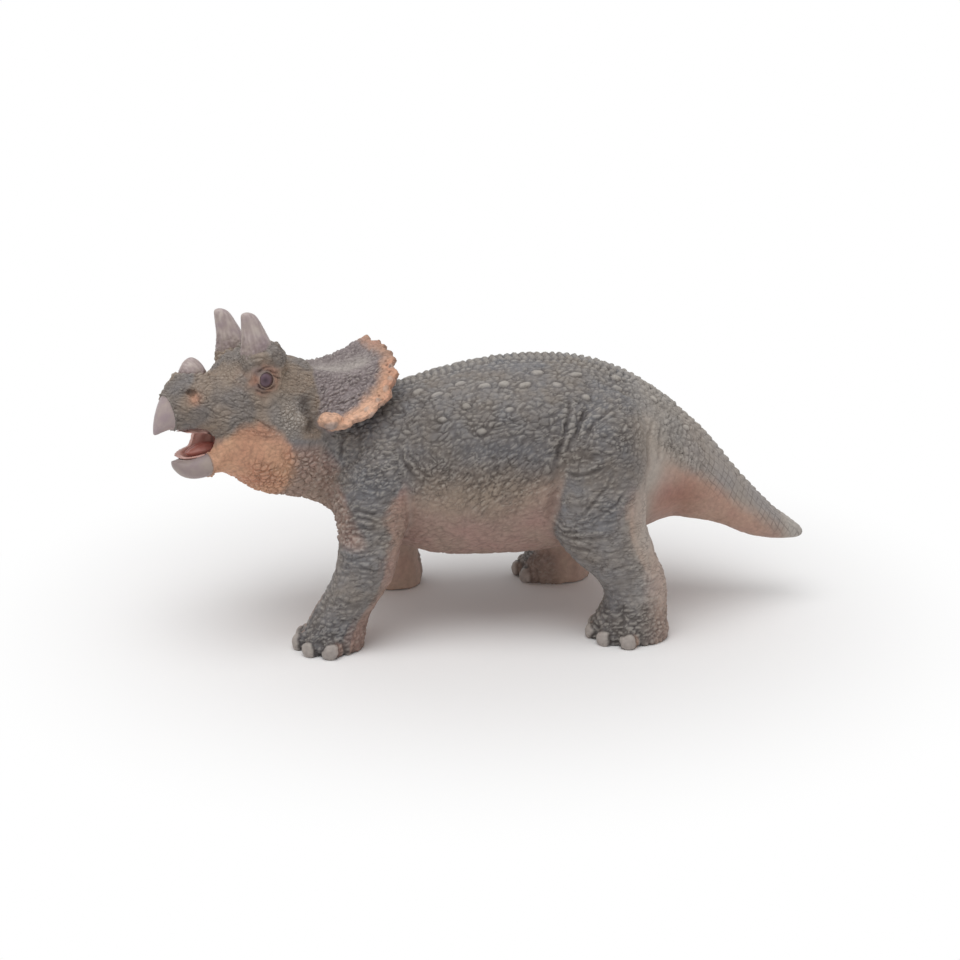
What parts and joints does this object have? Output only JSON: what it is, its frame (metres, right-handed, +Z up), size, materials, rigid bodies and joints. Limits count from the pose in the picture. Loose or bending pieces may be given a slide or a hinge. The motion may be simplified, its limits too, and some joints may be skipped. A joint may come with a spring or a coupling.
{
  "type": "toy dinosaur figure",
  "caption": "Standing three-horned dinosaur toy: rounded trunk on four legs, drooping tail, head turned aside with open beak, brow and nose horns and a scalloped neck frill.",
  "frame": {"origin": "on the ground under the middle of the figure's bounding box", "axes": "-X the way the body faces, +X towards the tail tip, +Z up; the animal's left side is towards -Y"},
  "size_m": [0.1192, 0.0478, 0.0605],
  "materials": {
    "skin": "soft vinyl, matt hand paint",
    "frill_skin": "soft vinyl, matt hand paint",
    "jaw_skin": "soft vinyl, matt hand paint",
    "horn": "soft vinyl, satin paint",
    "mouth": "soft vinyl, satin paint",
    "tongue": "soft vinyl, satin paint",
    "eye": "gloss paint"
  },
  "bodies": {
    "root": {"torso": "skin", "tail": "skin", "front_leg_left": "skin", "front_leg_right": "skin", "hind_leg_left": "skin", "hind_leg_right": "skin", "head": "skin", "frill": "frill_skin", "lower_jaw": "jaw_skin", "brow_horn_left": "horn", "brow_horn_right": "horn", "nose_horn": "horn", "upper_beak": "horn", "lower_beak": "horn", "mouth_lining": "mouth", "tongue": "tongue", "eye_left": "eye", "eye_right": "eye"}
  },
  "joints": []
}
